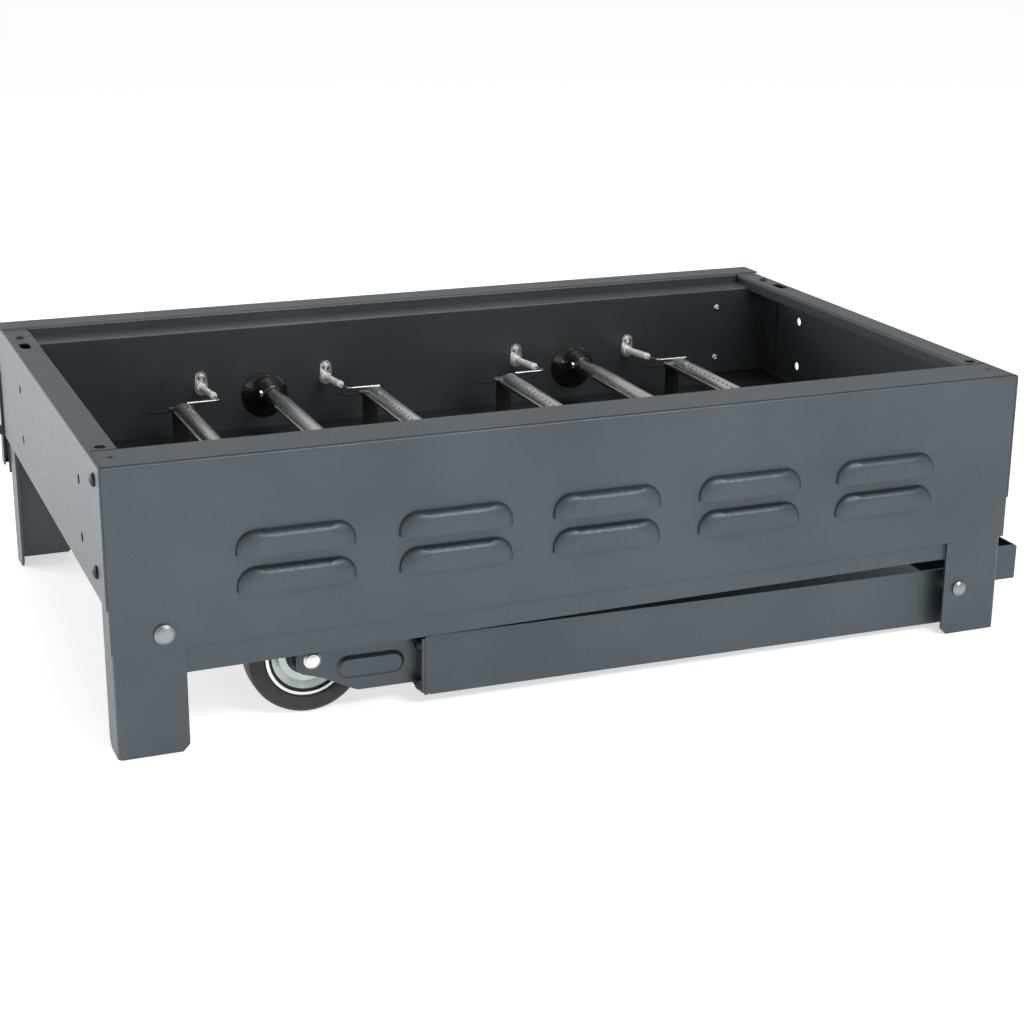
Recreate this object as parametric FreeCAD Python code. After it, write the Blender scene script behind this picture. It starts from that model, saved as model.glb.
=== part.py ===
import FreeCAD, Part
import math
import os

# Folding gas barbecue base: an open sheet-steel firebox on four short corner feet, with two
# three-tube gas burners, a control fascia, and two hinged leg frames that fold away underneath.
# Millimetres. X runs along the length, -Y is the louvred rear, +Y the operator's side, Z is up
# from the floor. It is drawn about the firebox centre and moved at the end, so that the origin
# is the centre of the underside of the whole object's box.

V = FreeCAD.Vector

# ---- driving dimensions -------------------------------------------------------------------
body_len = 844.0            # over the side panels
body_wid = 536.0            # rear panel to the ends of the side panels
body_top = 248.0            # top of the frame above the floor
rear_bottom = 92.0          # lower edge of the rear panel
side_bottom = 129.5         # lower edge of the side panels, raised to clear the stop channel
sheet = 1.5                 # panel thickness
bend = 1.2                  # inside radius of a bend
rear_flange = 50.0          # width of the rear panel's top flange
side_flange = 26.0          # width of the side panels' top flange
flange_lip = 12.0           # down-turned edge of the top flanges
seam = 0.3                  # gap left at a seam between two panels

louvre_pitch = 138.0
louvre_rows = (163.5, 132.5)        # lower edges of the two rows
louvre_count = 5
louvre_size = (101.0, 20.5)         # length and height on the panel
louvre_shoulder = (20.0, 8.0)       # how far the dome draws in at the ends and the top
louvre_corner = 16.5                # radius of its two upper corners
louvre_depth = 8.0
louvre_centre = 10.0                # louvres and burners are centred slightly to the right
fire_centre = 7.0

foot_width = 59.0
foot_depth = 36.0
foot_sheet = 2.5
foot_top = side_bottom + sheet       # the base pan rests on the feet and the side panels' lips

rail_height = 54.0
rail_sheet = 2.0
left_pivot = (-377.0, 105.0)        # X and Z of the left leg frame's hinge
left_rail_low = 37.5                # rail's lower edge below its pivot
left_rail_width = 12.0
left_tilt = 0.6                     # the folded frame rises towards its free end, degrees
right_pivot = (376.0, 45.0)
right_rail_low = 39.5
right_rail_width = 25.0
right_tilt = 0.5
right_reach = 526.0                 # pivot to the castor plate
castor_offset = 97.0                # castor plate to wheel centre
axle_rise = 2.1                     # axle above the hinge line of the folded frame
wheel_radius = 52.5
wheel_width = 28.0
pivot_radius = 4.0                  # M8 shoulder bolts
running_gap = 0.05

wall_y = 205.0                      # firebox face of the burner wall
wall_top = 240.0
pan_z = foot_top
pan_sheet = 1.2

burner_pitch = 346.0
burner_z = 174.5                    # axis of the burner tubes
mouth_z = 167.0                     # middle of the air openings in the burner wall
limb_offset = 99.0                  # ported tubes each side of the mixing tube
limb_end = 154.0
header_y = -190.0
tube_radius = 8.5
tube_wall = 1.0
port_radius = 1.2
port_pitch = 10.0

electrode_offset = 66.0
electrode_z = 179.5                 # at the wall; the electrodes rise towards the tubes
electrode_tilt = math.radians(5.0)
tab_screw_rise = 11.5
ceramic_radius = 3.8
lead_radius = 1.6
spark_tip_y = 125.0

control_y = 240.0                   # valves and manifold
manifold_z = 119.0
manifold_radius = 7.0
knob_z = 150.0
button_x = 300.0

fascia_half = body_len / 2 + 1.0
fascia_face = 268.0                 # Y of the fascia's upright part
fascia_knee = 205.0                 # Z where it starts to slope out
fascia_foot = (285.0, 104.0)        # Y and Z at the end of the slope

half_len = body_len / 2
half_wid = body_wid / 2
left_reach = left_pivot[1] - (right_pivot[1] - right_reach - castor_offset - wheel_radius)

# ---- shape helpers ------------------------------------------------------------------------


def box(x0, x1, y0, y1, z0, z1):
    return Part.makeBox(x1 - x0, y1 - y0, z1 - z0, V(x0, y0, z0))


def rod(start, end, radius, end_radius=None):
    start, end = V(*start), V(*end)
    run = end - start
    if end_radius is None or end_radius == radius:
        return Part.makeCylinder(radius, run.Length, start, run)
    return Part.makeCone(radius, end_radius, run.Length, start, run)


def pipe(start, end, radius, bore):
    return rod(start, end, radius).cut(rod(start, end, bore))


def fuse(first, *others):
    shape = first
    for other in others:
        shape = shape.fuse(other)
    return shape.removeSplitter()


def cut(shape, *tools):
    for tool in tools:
        shape = shape.cut(tool)
    return shape


def mirrored(shape):
    """The same piece on the operator's side."""
    return shape.mirror(V(0, 0, 0), V(0, 1, 0))


def flipped(shape):
    """The same piece at the other end."""
    return shape.mirror(V(0, 0, 0), V(1, 0, 0))


def group(shapes):
    solids = []
    for shape in shapes:
        solids.extend(shape.Solids)
    return Part.makeCompound(solids)


def yz(x):
    return lambda u, v: V(x, u, v)


def xz(y):
    return lambda u, v: V(u, y, v)


def xy(z):
    return lambda u, v: V(u, v, z)


def corner(before, at, after, radius):
    """Where a corner's rounding starts, its middle and its end."""
    a = V(before[0] - at[0], before[1] - at[1], 0).normalize()
    b = V(after[0] - at[0], after[1] - at[1], 0).normalize()
    half = a.getAngle(b) / 2
    along = radius / math.tan(half)
    middle = (a + b).normalize() * (radius / math.sin(half) - radius)
    at = V(at[0], at[1], 0)
    return at + a * along, at + middle, at + b * along


def rounded_edges(points, radii, place):
    """Edges of a 2-D path with rounded corners; radii names each inner point."""
    edges, last = [], V(points[0][0], points[0][1], 0)
    for i in range(1, len(points) - 1):
        if radii[i - 1] <= 0:
            start = end = V(points[i][0], points[i][1], 0)
        else:
            start, mid, end = corner(points[i - 1], points[i], points[i + 1], radii[i - 1])
        edges.append(Part.makeLine(place(last.x, last.y), place(start.x, start.y)))
        if radii[i - 1] > 0:
            arc = Part.Arc(place(start.x, start.y), place(mid.x, mid.y), place(end.x, end.y))
            edges.append(arc.toShape())
        last = end
    tail = points[-1]
    edges.append(Part.makeLine(place(last.x, last.y), place(tail[0], tail[1])))
    return edges


def outline(points, radius, place):
    """Closed wire of a polygon; radius is one value or one per corner."""
    count = len(points)
    radii = list(radius) if hasattr(radius, "__len__") else [radius] * count
    first = ((points[0][0] + points[-1][0]) / 2, (points[0][1] + points[-1][1]) / 2)
    return Part.Wire(rounded_edges([first] + list(points) + [first], radii, place))


def plate(points, radius, place, thickness):
    return Part.Face(outline(points, radius, place)).extrude(thickness)


def offset_path(points, distance):
    """The path's points moved sideways, to the left of its direction when positive."""
    lines = []
    for p, q in zip(points, points[1:]):
        d = V(q[0] - p[0], q[1] - p[1], 0).normalize()
        n = V(-d.y, d.x, 0) * distance
        lines.append((V(p[0], p[1], 0) + n, V(q[0], q[1], 0) + n, d))
    moved = [lines[0][0]]
    for (p1, q1, d1), (p2, q2, d2) in zip(lines, lines[1:]):
        cross = d1.x * d2.y - d1.y * d2.x
        step = ((p2.x - p1.x) * d2.y - (p2.y - p1.y) * d2.x) / cross
        moved.append(p1 + d1 * step)
    moved.append(lines[-1][1])
    return [(p.x, p.y) for p in moved]


def folded(points, thickness, inside, place, run):
    """A folded sheet: its outer line, material on the left, extruded along run."""
    radii_a, radii_b = [], []
    for before, at, after in zip(points, points[1:], points[2:]):
        turn = (at[0] - before[0]) * (after[1] - at[1]) - (at[1] - before[1]) * (after[0] - at[0])
        radii_a.append(inside + thickness if turn > 0 else inside)
        radii_b.append(inside if turn > 0 else inside + thickness)
    other = offset_path(points, thickness)
    edges = rounded_edges(points, radii_a, place)
    edges += rounded_edges(other, radii_b, place)
    edges.append(Part.makeLine(place(*points[0]), place(*other[0])))
    edges.append(Part.makeLine(place(*points[-1]), place(*other[-1])))
    return Part.Face(Part.Wire(Part.__sortEdges__(edges))).extrude(run)


def turned(profile, centre, axis):
    """A solid of revolution: profile gives distance along the axis and radius."""
    axis = V(*axis).normalize()
    side = V(0, 0, 1) if abs(axis.z) < 0.9 else V(1, 0, 0)
    side = (side - axis * side.dot(axis)).normalize()
    points = [V(*centre) + axis * along + side * radius for along, radius in profile]
    wire = Part.makePolygon(points + [points[0]])
    return Part.Face(wire).revolve(V(*centre), axis, 360)


def stadium(cx, cy, length, width, place):
    """A slot's outline, long along the first axis."""
    x, y = length / 2, width / 2
    corners = [(cx - x, cy - y), (cx + x, cy - y), (cx + x, cy + y), (cx - x, cy + y)]
    return outline(corners, y - 0.01, place)


def swept(points, radius, bend_radius=None):
    """A round wire along straight runs joined by tangent arcs, as large as the runs allow."""
    pts = [V(*p) for p in points]
    edges, last = [], pts[0]
    largest = bend_radius
    for before, at, after in zip(pts, pts[1:], pts[2:]):
        a, b = (before - at), (after - at)
        run = 0.45 * min(a.Length, b.Length)
        a.normalize()
        b.normalize()
        half = a.getAngle(b) / 2
        bend_radius = largest or run * math.tan(half)
        run = bend_radius / math.tan(half)
        mid = at + (a + b).normalize() * (bend_radius / math.sin(half) - bend_radius)
        start, end = at + a * run, at + b * run
        edges.append(Part.makeLine(last, start))
        edges.append(Part.Arc(start, mid, end).toShape())
        last = end
    edges.append(Part.makeLine(last, pts[-1]))
    path = Part.Wire(edges)
    ring = Part.Wire(Part.makeCircle(radius, pts[0], pts[1] - pts[0]))
    solid = path.makePipeShell([ring], True, False)
    return solid, path.Length


def screw(base, axis, head_radius, head_height, shank_radius, shank, button=True, socket=True):
    """A screw whose head sits on base; axis points out of the head, the shank goes the other way."""
    domed = [(0, 0), (0, head_radius), (head_height * 0.45, head_radius),
             (head_height * 0.85, head_radius * 0.72), (head_height, head_radius * 0.4),
             (head_height, 0)]
    hexed = Part.Face(Part.Wire(Part.makePolygon(
        [V(head_radius * math.cos(math.radians(60 * i)), head_radius * math.sin(math.radians(60 * i)), 0)
         for i in range(7)]))).extrude(V(0, 0, head_height))
    head = turned(domed, (0, 0, 0), (0, 0, 1)) if button else hexed
    drive = rod((0, 0, head_height * 0.45), (0, 0, head_height + 1), head_radius * 0.32)
    body = fuse(head, rod((0, 0, 0), (0, 0, -shank), shank_radius))
    if button and socket:
        body = body.cut(drive)
    turn = FreeCAD.Rotation(V(0, 0, 1), V(*axis))
    body.Placement = FreeCAD.Placement(V(*base), turn)
    return body


def hex_nut(base, axis, across, height, bore):
    radius = across / math.sqrt(3)
    corners = [V(radius * math.cos(math.radians(60 * i)), radius * math.sin(math.radians(60 * i)), 0)
               for i in range(7)]
    nut = Part.Face(Part.makePolygon(corners)).extrude(V(0, 0, height))
    nut = nut.cut(rod((0, 0, -1), (0, 0, height + 1), bore))
    nut.Placement = FreeCAD.Placement(V(*base), FreeCAD.Rotation(V(0, 0, 1), V(*axis)))
    return nut


nodes = {}


def keep(name, shape):
    nodes[name] = shape


# ---- firebox panels -----------------------------------------------------------------------
panel_half = half_len - sheet - seam            # rear panel tucked between the side panels
rear_y = -half_wid
screw_rows = ((-247.0, 233.0), (-237.0, 153.0))             # Y, Z of the side button heads
side_holes = tuple((y, z) for y in (-176.0, 132.0) for z in (163.0, 213.0))
side_hole_radius = 4.5
corner_screw = (407.0, -241.0)
frame_screw = (410.0, 197.0)
frame_hole = (409.0, -209.0, 5.0)                           # X, Y, radius
frame_slot = (410.5, 160.0, 24.0, 10.0)                     # X, Y, length, width


def louvre(length, height, radius, start, base, crown):
    """A domed pressing, open along its straight lower edge, from start through base to crown."""
    rings = []
    for share in (0.0, 0.4, 0.7, 0.9, 1.0):
        drawn = 1.0 - math.sqrt(1.0 - (0.98 * share) ** 2)
        half, top = length / 2 - louvre_shoulder[0] * drawn, height - louvre_shoulder[1] * drawn
        corners = [(half, 0), (half, top), (-half, top), (-half, 0)]
        bend_at = min(radius, top - 2.5)
        rings.append(outline(corners, (0, bend_at, bend_at, 0), xz(base + (crown - base) * share)))
    straight = Part.Face(rings[0]).extrude(V(0, start - base, 0))
    return Part.makeLoft(rings, True, False).fuse(straight)


def make_rear_panel():
    flange_end = rear_y + rear_flange
    path = [(rear_y, rear_bottom), (rear_y, body_top), (flange_end, body_top),
            (flange_end, body_top - flange_lip)]
    path = [(u, v) for u, v in reversed(path)]
    panel = folded(path, sheet, bend, yz(-panel_half), V(2 * panel_half, 0, 0))
    lip_stop = half_len - side_flange + seam
    for s in (-1, 1):
        ends = sorted((s * lip_stop, s * (half_len + 1)))
        panel = panel.cut(box(ends[0], ends[1], flange_end - 8, flange_end + 1,
                              body_top - flange_lip - 1, body_top - sheet))
        flange_stop = half_len - 3.5
        ends = sorted((s * flange_stop, s * (half_len + 1)))
        panel = panel.cut(box(ends[0], ends[1], rear_y + 3.0, flange_end + 1, body_top - 6, body_top + 1))
        wing = sorted((s * panel_half, s * (panel_half - sheet)))
        panel = panel.fuse(box(wing[0], wing[1], rear_y + sheet / 2, rear_y + 30.0,
                               pan_z + 4.0, body_top - 6.0))
        sx, sy = s * corner_screw[0], corner_screw[1]
        panel = cut(panel, rod((sx, sy, body_top - 5), (sx, sy, body_top + 1), 2.1),
                    rod((sx, sy, body_top - sheet), (sx, sy, body_top + 0.01), 2.1, 4.0))
        for y, z in screw_rows:
            panel = panel.cut(rod((s * (half_len - 6), y, z), (s * (half_len + 6), y, z), 3.1))
    length, height = louvre_size
    outer = louvre(length, height, louvre_corner, rear_y + sheet / 2, rear_y, rear_y - louvre_depth)
    inner = louvre(length - 2 * sheet, height - sheet, louvre_corner - sheet, rear_y + sheet + 1,
                   rear_y + sheet / 2, rear_y - louvre_depth + sheet)
    for column in range(louvre_count):
        x = louvre_centre + (column - (louvre_count - 1) / 2) * louvre_pitch
        for z in louvre_rows:
            panel = panel.fuse(outer.translated(V(x, 0, z))).cut(inner.translated(V(x, 0, z)))
    # fine groove where the skin meets the top rail
    panel = panel.cut(box(-panel_half - 1, panel_half + 1, rear_y + sheet, rear_y + sheet + 0.6,
                          body_top - 1.0, body_top + 1))
    bolt = (left_pivot[0], rear_y, left_pivot[1])
    panel = panel.cut(rod((bolt[0], rear_y - 5, bolt[2]), (bolt[0], rear_y + 5, bolt[2]), pivot_radius))
    return panel


def make_side_panel(bottom_lip):
    """The left-hand side panel; the right-hand one is a mirror image without the bottom lip."""
    x = -half_len
    path = [(x + 13.0, side_bottom), (x, side_bottom), (x, body_top), (x + side_flange, body_top),
            (x + side_flange, body_top - flange_lip)]
    path = path[::-1]
    panel = folded(path, sheet, bend, xz(-half_wid), V(0, body_wid, 0))
    flange_end = rear_y + rear_flange
    # the top flange stops short of the rear panel's, which lies on a lowered tab
    panel = panel.cut(box(x + 3.2, x + side_flange + 1, -half_wid - 1, flange_end + seam,
                          body_top - flange_lip - 1, body_top + 1))
    panel = panel.cut(box(x + sheet, x + side_flange, -half_wid - 1, rear_y + 3.3,
                          body_top - sheet - bend, body_top + 1))
    tab = box(x + 1.0, x + side_flange - 1, -half_wid + sheet + bend + 0.1, flange_end + 5.0,
              body_top - 2 * sheet, body_top - sheet)
    panel = panel.fuse(tab)
    # the upper front corner is notched for the fascia's upright part
    panel = panel.cut(box(x - 1, x + side_flange + 1, half_wid - 2.8, half_wid + 1,
                          fascia_knee - 10.0, body_top + 1))
    # the bottom lip runs only between the feet
    for s in (-1, 1):
        ends = sorted((s * (half_wid - foot_depth - 6.0), s * (half_wid + 1)))
        panel = panel.cut(box(x + sheet, x + 20, ends[0], ends[1], side_bottom - 1, side_bottom + 5))
    if not bottom_lip:
        panel = panel.cut(box(x + sheet, x + 20, -half_wid, half_wid, side_bottom - 1, side_bottom + 5))
    for y, z in screw_rows:
        panel = panel.cut(rod((x - 5, y, z), (x + 5, y, z), 3.1))
    for y, z in side_holes:
        panel = panel.cut(rod((x - 5, y, z), (x + 5, y, z), side_hole_radius))
    hole_x, hole_y, hole_radius = frame_hole
    slot_x, slot_y, slot_length, slot_width = frame_slot
    turned_slot = stadium(slot_y, -slot_x, slot_length, slot_width, lambda u, v: V(v, u, body_top - 6))
    panel = panel.cut(Part.Face(turned_slot).extrude(V(0, 0, 10)))
    for (hx, hy), radius in (((hole_x, hole_y), hole_radius), (frame_screw, 2.1), (corner_screw, 2.1)):
        panel = panel.cut(rod((-hx, hy, body_top - 6), (-hx, hy, body_top + 1), radius))
    return panel


def make_burner_wall():
    end = wall_y + 58.0
    base = pan_z + pan_sheet
    path = [(wall_y, base), (wall_y, wall_top), (end, wall_top), (end, wall_top - 8.0)][::-1]
    wall_half = half_len - sheet - seam
    wall = folded(path, sheet, bend, yz(-wall_half), V(2 * wall_half, 0, 0))
    for s in (-1, 1):
        clear = sorted((s * (half_len - side_flange - seam), s * half_len))
        wall = wall.cut(box(clear[0], clear[1], wall_y + 4, end + 1, wall_top - 9, wall_top + 1))
        wall = wall.cut(box(clear[0], clear[1], wall_y - 1, wall_y + 5, body_top - flange_lip - seam,
                            wall_top + 1))
        wing = sorted((s * wall_half, s * (wall_half - sheet)))
        wall = wall.fuse(box(wing[0], wing[1], wall_y - 25.0, wall_y + sheet / 2,
                             pan_z + 16.0, body_top - flange_lip - 2.0))
    for x in burner_centres():
        wall = wall.cut(rod((x, wall_y - 2, mouth_z), (x, wall_y + 4, mouth_z), 20.0))
        for s in (-1, 1):
            for z, radius in ((electrode_z, ceramic_radius + 0.8), (electrode_z + tab_screw_rise, 2.1)):
                wall = wall.cut(rod((x + s * electrode_offset, wall_y - 2, z),
                                    (x + s * electrode_offset, wall_y + 4, z), radius))
    for z in generator_screws:
        wall = wall.cut(rod((generator_x, wall_y - 2, z), (generator_x, wall_y + 4, z), 2.1))
    return wall.cut(box(pocket_start - 3.0, half_len, wall_y - 1, wall_y + 3, base - 1, pocket_z + 2.0))


def burner_centres():
    return (fire_centre + 1.0 - burner_pitch / 2, fire_centre + 1.0 + burner_pitch / 2)


pocket_start = 350.0                 # the pan steps up here to clear the swinging stop channel
pocket_z = 141.8
pocket_half = 226.0
generator_x = 357.0
generator_screws = (162.0, 219.0)
generator_depth = 34.0


def make_pan():
    half = half_len - sheet - 2.1
    rear = -half_wid + sheet + 0.6
    front = wall_y + 24.0
    pan = box(-half, half, rear, front, pan_z, pan_z + pan_sheet)
    rim = 12.0
    pan = pan.fuse(box(-half, half, rear, rear + pan_sheet, pan_z, pan_z + rim))
    for s in (-1, 1):
        ends = sorted((s * half, s * (half - pan_sheet)))
        pan = pan.fuse(box(ends[0], ends[1], rear, wall_y - 1.0, pan_z, pan_z + rim))
    # pressed stiffening beads between the burners
    for x in (fire_centre - burner_pitch, fire_centre, pocket_start - 20.0):
        bead = plate([(x - 8, rear + 40), (x + 8, rear + 40), (x + 8, wall_y - 40), (x - 8, wall_y - 40)],
                     7.9, xy(pan_z + pan_sheet - 0.1), V(0, 0, 2.1))
        pan = pan.fuse(bead)
    wide = min(pocket_half, front - pan_sheet)
    pan = pan.cut(box(pocket_start, half + 1, -pocket_half, wide, pan_z - 1, pan_z + rim + 1))
    raised = cut(box(pocket_start - pan_sheet, half, -pocket_half - pan_sheet, wide + pan_sheet, pan_z,
                     pocket_z + pan_sheet),
                 box(pocket_start, half + 1, -pocket_half, wide, pan_z - 1, pocket_z))
    return pan.fuse(raised).removeSplitter()


def make_foot(pivot, hole):
    """The rear left corner foot, an L of thick sheet; the others are mirror images."""
    x, y = -half_len + sheet + seam + sheet, rear_y + sheet
    path = [(x + foot_width, y), (x, y), (x, y + foot_depth)][::-1]
    foot = folded(path, foot_sheet, 2.0, xy(0), V(0, 0, foot_top))
    far = x + foot_width
    nose = 7.0
    foot = foot.cut(plate([(far - nose, -1), (far + 1, -1), (far + 1, nose)], 0, xz(y - 1),
                          V(0, foot_sheet + 2, 0)))
    back = y + foot_depth
    foot = foot.cut(plate([(back - nose, -1), (back + 1, -1), (back + 1, nose)], 0, yz(x - 1),
                          V(foot_sheet + 2, 0, 0)))
    return foot.cut(rod((pivot[0], y - 1, pivot[1]), (pivot[0], y + 4, pivot[1]), hole))


def make_fascia():
    face, knee = fascia_face, fascia_knee
    out, low = fascia_foot
    flange = body_top + sheet
    path = [(face - 34.0, wall_top), (face - 34.0, flange), (face, flange), (face, knee), (out, low),
            (out, low - 4.0), (out - 8.0, low - 4.0)][::-1]
    fascia = folded(path, sheet, bend, yz(-fascia_half), V(2 * fascia_half, 0, 0))
    back, top = half_wid + 0.6, knee - 8.0
    profile = [(back, top), (back, low - 4.0), (out, low - 4.0), (out, low),
               (face + 8.0 * math.tan(slope), top)]
    for s in (-1, 1):
        cap = plate(profile, 0, yz(s * fascia_half), V(s * sheet, 0, 0))
        fascia = fascia.fuse(cap)
        fascia = fascia.cut(rod((s * (fascia_half - 3), end_screw[0], end_screw[1]),
                                (s * (fascia_half + 3), end_screw[0], end_screw[1]), 2.6))
        lip = sorted((s * (half_len - side_flange - 0.6), s * (fascia_half + 3)))
        fascia = fascia.cut(box(lip[0], lip[1], face - 36, face - 30, wall_top - 1, body_top))
    for x in burner_centres():
        fascia = fascia.cut(along_knob(x, -10, 10, 7.0))
    return fascia.cut(along_button(-10, 10, 9.0))


end_screw = (274.5, 136.0)
slope = math.atan2(fascia_foot[0] - fascia_face, fascia_knee - fascia_foot[1])


def fascia_point(x, z):
    """The point of the sloping face at height z, and its outward normal."""
    y = fascia_face + (fascia_knee - z) * math.tan(slope)
    return V(x, y, z), V(0, math.cos(slope), math.sin(slope))


def along_knob(x, start, end, radius, z=None):
    at, out = fascia_point(x, knob_z if z is None else z)
    return rod(tuple(at + out * start), tuple(at + out * end), radius)


def along_button(start, end, radius):
    return along_knob(button_x, start, end, radius)


def make_front_sill():
    """Narrow front cross-panel behind the foot of the fascia."""
    sill = box(-panel_half, panel_half, half_wid - sheet, half_wid, rear_bottom, 124.0)
    for s in (-1, 1):
        wing = sorted((s * panel_half, s * (panel_half - sheet)))
        sill = sill.fuse(box(wing[0], wing[1], half_wid - 14.0, half_wid, side_bottom + 2.0, 165.0))
        pad = sorted((s * panel_half, s * (panel_half - 22.0)))
        sill = sill.fuse(box(pad[0], pad[1], half_wid - sheet, half_wid, 123.0, 165.0))
    x, z = left_pivot
    return sill.removeSplitter().cut(rod((x, half_wid - 5, z), (x, half_wid + 5, z), pivot_radius))


keep("rear_panel", make_rear_panel())
keep("left_side_panel", make_side_panel(True))
keep("right_side_panel", flipped(make_side_panel(False)))
keep("burner_wall", make_burner_wall())
keep("base_pan", make_pan())
keep("control_fascia", make_fascia())
keep("front_sill", make_front_sill())
rear_left = make_foot(left_pivot, pivot_radius)
rear_right = flipped(make_foot((-right_pivot[0], right_pivot[1]), pivot_radius))
keep("rear_left_foot", rear_left)
keep("rear_right_foot", rear_right)
keep("front_left_foot", mirrored(rear_left))
keep("front_right_foot", mirrored(rear_right))

# ---- panel fasteners ----------------------------------------------------------------------
side_screws, frame_screws, corner_screws = [], [], []
for s in (-1, 1):
    for y, z in screw_rows:
        side_screws.append(screw((s * half_len, y, z), (s, 0, 0), 5.6, 3.4, 3.0, 10.0))
        side_screws.append(hex_nut((s * (panel_half - sheet), y, z), (-s, 0, 0), 10.0, 4.0, 3.0))
    side_screws.append(screw((s * (fascia_half + sheet), end_screw[0], end_screw[1]), (s, 0, 0),
                             5.0, 3.0, 2.5, 8.0))
    frame_screws.append(screw((s * frame_screw[0], frame_screw[1], body_top), (0, 0, 1), 4.0, 1.8, 2.0, 8.0))
    sunk = turned([(-9, 0), (-9, 2.0), (-sheet, 2.0), (-sheet, 2.05), (-0.15, 3.7), (-0.15, 0)],
                  (s * corner_screw[0], corner_screw[1], body_top), (0, 0, 1))
    socket = rod((s * corner_screw[0], corner_screw[1], body_top - 1.4),
                 (s * corner_screw[0], corner_screw[1], body_top + 1), 1.4)
    corner_screws.append(sunk.cut(socket))
keep("panel_screws", group(side_screws + frame_screws + corner_screws))

# ---- left leg frame -----------------------------------------------------------------------
left_lane = rear_y + sheet + foot_sheet + 0.6           # outer face of the rear rail


def swung(shape, pivot, angle):
    """Turns a piece of a leg frame about its hinge; positive lifts a free end that points to -X."""
    shape = shape.copy()
    shape.rotate(V(pivot[0], 0, pivot[1]), V(0, 1, 0), angle)
    return shape


def channel(points, lane, width, wall):
    """A rail cut from a plate outline, with flanges turned in from its long edges."""
    web = plate(points, 1.0, xz(lane), V(0, wall, 0))
    high = max(v for u, v in points)
    low = min(v for u, v in points)
    left = min(u for u, v in points)
    right = max(u for u, v in points)
    whole = plate(points, 1.0, xz(lane), V(0, width, 0))
    core = box(left + 26, right - wall, lane + wall, lane + width + 1, low + wall, high - wall)
    nose = box(left - 1, left + 27, lane + wall, lane + width + 1, low - 1, high + 1)
    return whole.cut(core).cut(nose).fuse(web).removeSplitter()


def left_rail_points():
    x, z = left_pivot
    low, high = z - left_rail_low, z - left_rail_low + rail_height
    tip = x + left_reach
    return [(x - 6, low), (tip, low), (tip, high), (x - 12, high), (x - 20, z + 7), (x - 20, z - 18)]


left_rail = channel(left_rail_points(), left_lane, left_rail_width, rail_sheet)
left_rail = left_rail.cut(rod((left_pivot[0], left_lane - 1, left_pivot[1]),
                              (left_pivot[0], left_lane + 20, left_pivot[1]), pivot_radius + running_gap))
left_rail = swung(left_rail, left_pivot, -left_tilt)
keep("left_leg_rear_rail", left_rail)
keep("left_leg_front_rail", mirrored(left_rail))
brace_y = -left_lane - left_rail_width
brace_x = left_pivot[0] + 37.0
brace = cut(box(brace_x, brace_x + 25, -brace_y, brace_y, left_pivot[1] - 25, left_pivot[1]),
            box(brace_x + 2, brace_x + 23, -brace_y - 1, brace_y + 1, left_pivot[1] - 23,
                left_pivot[1] - 2))
keep("left_leg_cross_tube", swung(brace, left_pivot, -left_tilt))

foot_plugs = []
plug_x = left_pivot[0] + left_reach
plug_low = left_pivot[1] - left_rail_low
plug_y = left_lane + rail_sheet
plug = box(plug_x - rail_sheet - 22, plug_x - rail_sheet, plug_y, left_lane + left_rail_width,
           plug_low + rail_sheet, plug_low + rail_height - rail_sheet)
plug = plug.cut(box(plug_x - rail_sheet - 23, plug_x - rail_sheet - 4, plug_y + 2,
                    left_lane + left_rail_width - 2, plug_low + rail_sheet + 2,
                    plug_low + rail_height - rail_sheet - 2))
plug = swung(plug, left_pivot, -left_tilt)
keep("left_leg_end_plugs", group([plug, mirrored(plug)]))

# ---- right leg frame ----------------------------------------------------------------------
right_lane = left_lane + left_rail_width + 1.6
rail_far = right_lane + right_rail_width
neck_sheet = 4.0
channel_end = right_pivot[0] + 93.0
channel_start = right_pivot[0] + 46.0
channel_low = right_pivot[1] - 15.0
channel_high = right_pivot[1] + 18.5
castor_y = right_lane + 36.0
axle_x = right_pivot[0] - right_reach - castor_offset
axle_z = right_pivot[1] + axle_rise


def right_rail_points():
    x, z = right_pivot
    low, high = z - right_rail_low, z - right_rail_low + rail_height
    tip = x - right_reach + 3.0
    return [(tip, low), (x + 8, low), (x + 20, z - 24), (x + 20, z + 5), (x + 13, high), (tip, high)]


def make_right_rail():
    points = right_rail_points()
    whole = plate(points, 2.0, xz(right_lane), V(0, right_rail_width, 0))
    low, high = points[0][1], points[-1][1]
    core = box(points[0][0] - 1, right_pivot[0] - 30, right_lane + rail_sheet, rail_far - rail_sheet,
               low + rail_sheet, high - rail_sheet)
    nose = box(right_pivot[0] - 31, right_pivot[0] + 21, right_lane + rail_sheet, rail_far - rail_sheet,
               low - 1, high + 1)
    bore = rod((right_pivot[0], right_lane - 1, right_pivot[1]),
               (right_pivot[0], rail_far + 1, right_pivot[1]), pivot_radius + running_gap)
    return swung(whole.cut(core).cut(nose).cut(bore), right_pivot, right_tilt)


def make_castor_plate():
    """End plate welded across the tip of a rail; the castor is bolted to it."""
    x = right_pivot[0] - right_reach
    low = right_pivot[1] - right_rail_low - 0.5
    end = plate([(right_lane, low), (right_lane + 72, low), (right_lane + 72, low + rail_height + 1),
                 (right_lane, low + rail_height + 1)], 1.5, yz(x), V(3, 0, 0))
    for y, z in castor_bolts():
        end = end.cut(rod((x - 1, y, z), (x + 5, y, z), 4.0))
    return swung(end, right_pivot, right_tilt)


def castor_bolts():
    centre = right_pivot[1] - right_rail_low + rail_height / 2
    return [(castor_y + dy, centre + dz) for dy in (-29.5, 29.5) for dz in (-18.0, 18.0)]


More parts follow.
